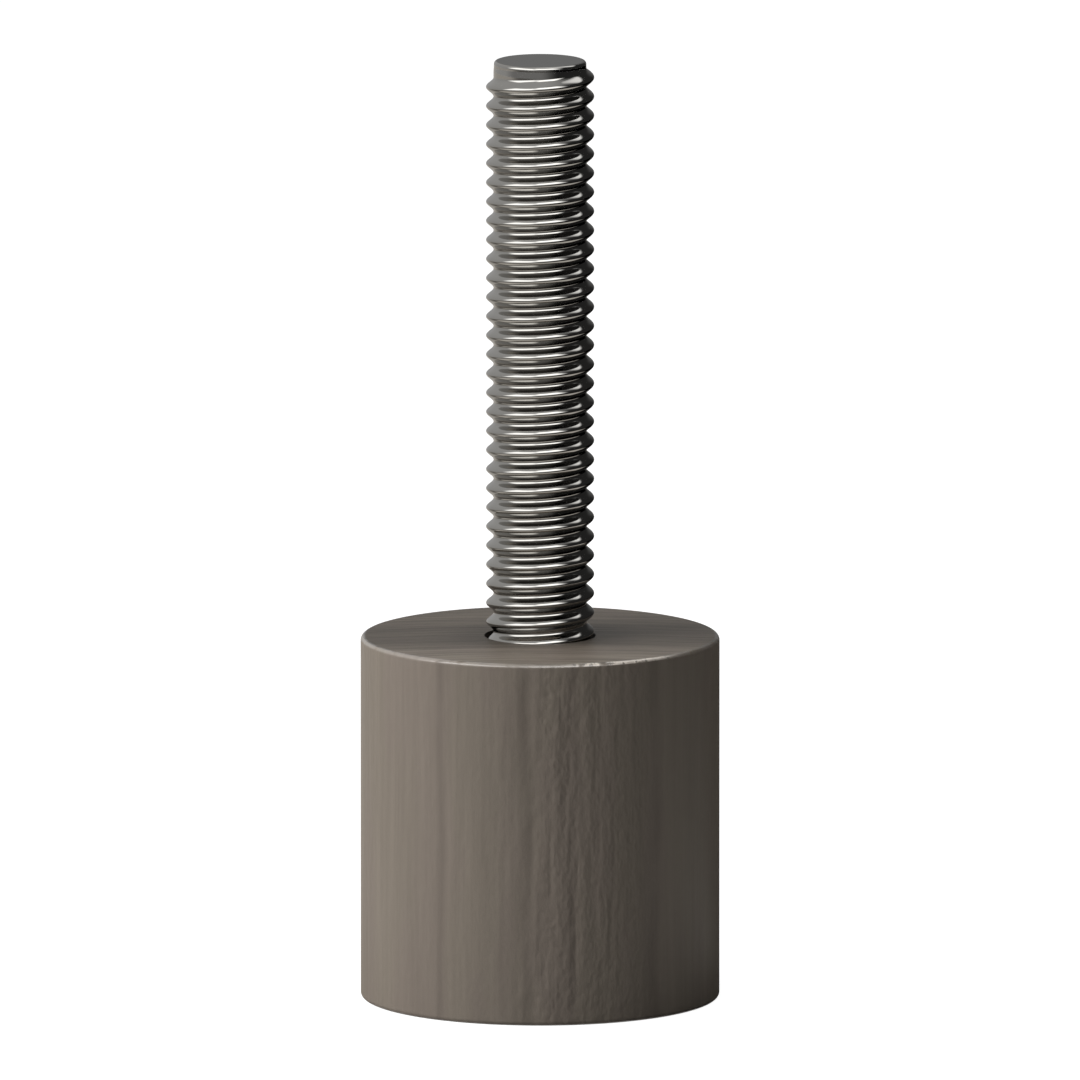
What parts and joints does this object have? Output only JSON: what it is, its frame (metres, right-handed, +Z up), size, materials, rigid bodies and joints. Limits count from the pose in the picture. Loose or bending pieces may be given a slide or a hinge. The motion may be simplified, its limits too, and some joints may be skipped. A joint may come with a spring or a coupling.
{
  "type": "threaded cylindrical furniture foot",
  "caption": "Turned wooden cylinder foot with a right-hand threaded steel stud standing from the centre of its top.",
  "frame": {"origin": "centre of the wooden block's flat bottom face, on the floor", "axes": "+Z up along the stud, from the foot towards the furniture; +X where the thread's last full-height crest ends near the tip"},
  "size_m": [0.0262, 0.0262, 0.0691],
  "materials": {
    "stained_wood": "stained and sealed, fine vertical grain",
    "dark_steel": "dark polished steel"
  },
  "bodies": {
    "root": {"wood_block": "stained_wood", "threaded_stud": "dark_steel"}
  },
  "joints": []
}
